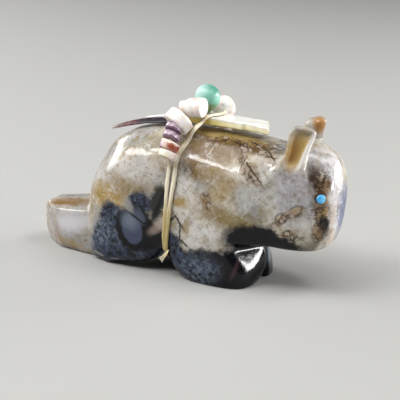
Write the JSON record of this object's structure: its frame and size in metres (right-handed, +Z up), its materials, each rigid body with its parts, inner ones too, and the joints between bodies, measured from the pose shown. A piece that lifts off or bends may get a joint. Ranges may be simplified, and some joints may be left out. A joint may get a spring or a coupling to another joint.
{
  "type": "stone beaver carving",
  "caption": "Polished marbled stone figure of a beaver with inlaid turquoise eyes and an offering bundle of shell points and beads tied over its back with sinew.",
  "frame": {"origin": "on the table the beaver stands on, under the centre of its bounding box", "axes": "+X the way the beaver faces, +Y its left side, +Z up"},
  "size_m": [0.0674, 0.0256, 0.0391],
  "materials": {
    "stone": "polished marbled limestone",
    "blue_turquoise": "polished",
    "green_turquoise": "polished",
    "gold_shell": "pearly, polished",
    "dark_shell": "pearly, polished",
    "white_shell": "pearly",
    "red_shell": "smooth",
    "purple_shell": "smooth, banded",
    "sinew": "waxed strip"
  },
  "bodies": {
    "root": {"stone_beaver": "stone", "eye_right": "blue_turquoise", "eye_left": "blue_turquoise", "shell_spearhead": "gold_shell", "dark_shell_point": "dark_shell", "bead_white_lower": "white_shell", "bead_red_shell": "red_shell", "bead_purple_lower": "purple_shell", "bead_purple_upper": "purple_shell", "bead_white_large": "white_shell", "bead_stack_left": "white_shell", "bead_stack_middle": "white_shell", "bead_stack_right": "white_shell", "bead_white_far": "white_shell", "bead_pink_far": "white_shell", "turquoise_nugget": "green_turquoise", "sinew": "sinew"}
  },
  "joints": []
}
